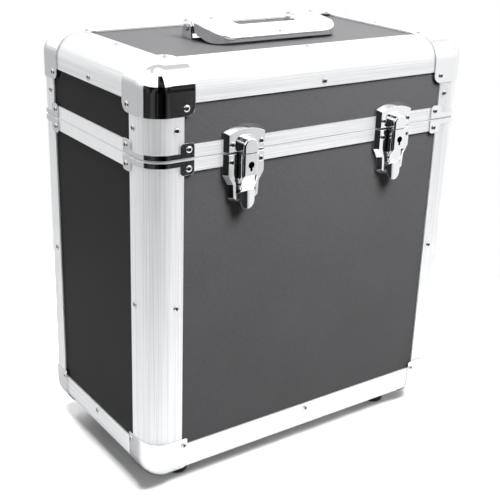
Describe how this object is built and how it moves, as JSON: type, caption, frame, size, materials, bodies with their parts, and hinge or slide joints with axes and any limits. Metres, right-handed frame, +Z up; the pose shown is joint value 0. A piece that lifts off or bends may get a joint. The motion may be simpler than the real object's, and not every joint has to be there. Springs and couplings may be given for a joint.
{
  "type": "record carrying case",
  "caption": "Hard carrying case for 12-inch records: dark laminate panels in rounded aluminium edges, chrome ball corners, keyed draw latches, hinged lid with a folding handle",
  "frame": {"origin": "on the floor under the middle of the outline, under the rubber feet", "axes": "+Z up, the front with the latches faces -Y, +X to the right seen from the front"},
  "size_m": [0.3496, 0.2242, 0.4072],
  "materials": {
    "panel_laminate": "dark grey high-pressure laminate on a board, low sheen",
    "extruded_aluminium": "extruded and satin anodised, fine lengthwise lines",
    "chromed_steel": "pressed steel, bright chrome plated",
    "foot_rubber": "moulded black rubber",
    "lining_felt": "black felt over thin foam",
    "spring_steel": "zinc-plated or sprung steel"
  },
  "bodies": {
    "case_body": {"body_front_panel": "panel_laminate", "body_back_panel": "panel_laminate", "body_left_panel": "panel_laminate", "body_right_panel": "panel_laminate", "body_floor_panel": "panel_laminate", "body_post_front_left": "extruded_aluminium", "body_post_front_right": "extruded_aluminium", "body_post_back_left": "extruded_aluminium", "body_post_back_right": "extruded_aluminium", "body_bottom_edge_front": "extruded_aluminium", "body_bottom_edge_back": "extruded_aluminium", "body_bottom_edge_left": "extruded_aluminium", "body_bottom_edge_right": "extruded_aluminium", "body_rim_rails": "extruded_aluminium", "body_ball_corners": "chromed_steel", "body_seam_braces": "chromed_steel", "body_rivets": "chromed_steel", "body_lining": "lining_felt", "rubber_feet": "foot_rubber", "foot_screws": "spring_steel", "body_hinge_leaves": "chromed_steel", "hinge_pins": "spring_steel", "latch_base_left": "chromed_steel", "latch_base_right": "chromed_steel", "lever_pins": "spring_steel", "hook_springs": "spring_steel"},
    "lid": {"lid_front_panel": "panel_laminate", "lid_back_panel": "panel_laminate", "lid_left_panel": "panel_laminate", "lid_right_panel": "panel_laminate", "lid_top_panel": "panel_laminate", "lid_top_edge_front": "extruded_aluminium", "lid_top_edge_back": "extruded_aluminium", "lid_top_edge_left": "extruded_aluminium", "lid_top_edge_right": "extruded_aluminium", "lid_posts": "extruded_aluminium", "lid_rim_rails": "extruded_aluminium", "lid_ball_corners": "chromed_steel", "lid_seam_braces": "chromed_steel", "lid_rivets": "chromed_steel", "lid_lining": "lining_felt", "lid_hinge_leaves": "chromed_steel", "latch_strike_left": "chromed_steel", "latch_strike_right": "chromed_steel", "handle_bracket_left": "chromed_steel", "handle_bracket_right": "chromed_steel", "handle_pins": "spring_steel"},
    "handle": {"handle_bail": "chromed_steel"},
    "lever_left": {"latch_lever_left": "chromed_steel", "hook_pin_left": "spring_steel"},
    "hook_left": {"latch_hook_left": "chromed_steel"},
    "bolt_left": {"lock_bolt_left": "spring_steel"},
    "lever_right": {"latch_lever_right": "chromed_steel", "hook_pin_right": "spring_steel"},
    "hook_right": {"latch_hook_right": "chromed_steel"},
    "bolt_right": {"lock_bolt_right": "spring_steel"}
  },
  "joints": [
    {"name": "lid_hinge", "type": "hinge", "parent": "case_body", "child": "lid", "pos_m": [0, 0.1089, 0.317], "axis": [-1, 0, 0], "range_deg": [0, 100]},
    {"name": "handle_swing", "type": "hinge", "parent": "lid", "child": "handle", "pos_m": [0, 0.011, 0.4], "axis": [-1, 0, 0], "range_deg": [0, 90]},
    {"name": "latch_left_lever", "type": "hinge", "parent": "case_body", "child": "lever_left", "pos_m": [-0.0828, -0.1056, 0.293], "axis": [-1, 0, 0], "range_deg": [0, 70]},
    {"name": "latch_left_hook", "type": "hinge", "parent": "lever_left", "child": "hook_left", "pos_m": [-0.0828, -0.1051, 0.287], "axis": [1, 0, 0], "range_deg": [0, 63.63]},
    {"name": "latch_left_lock", "type": "slide", "parent": "hook_left", "child": "bolt_left", "axis": [0, 0, -1], "range_m": [0, 0.0025]},
    {"name": "latch_right_lever", "type": "hinge", "parent": "case_body", "child": "lever_right", "pos_m": [0.0828, -0.1056, 0.293], "axis": [-1, 0, 0], "range_deg": [0, 70]},
    {"name": "latch_right_hook", "type": "hinge", "parent": "lever_right", "child": "hook_right", "pos_m": [0.0828, -0.1051, 0.287], "axis": [1, 0, 0], "range_deg": [0, 63.63]},
    {"name": "latch_right_lock", "type": "slide", "parent": "hook_right", "child": "bolt_right", "axis": [0, 0, -1], "range_m": [0, 0.0025]}
  ],
  "couplings": [
    {"joint": "latch_left_hook", "follows": "latch_left_lever", "ratio": 0.909},
    {"joint": "latch_right_hook", "follows": "latch_right_lever", "ratio": 0.909}
  ]
}
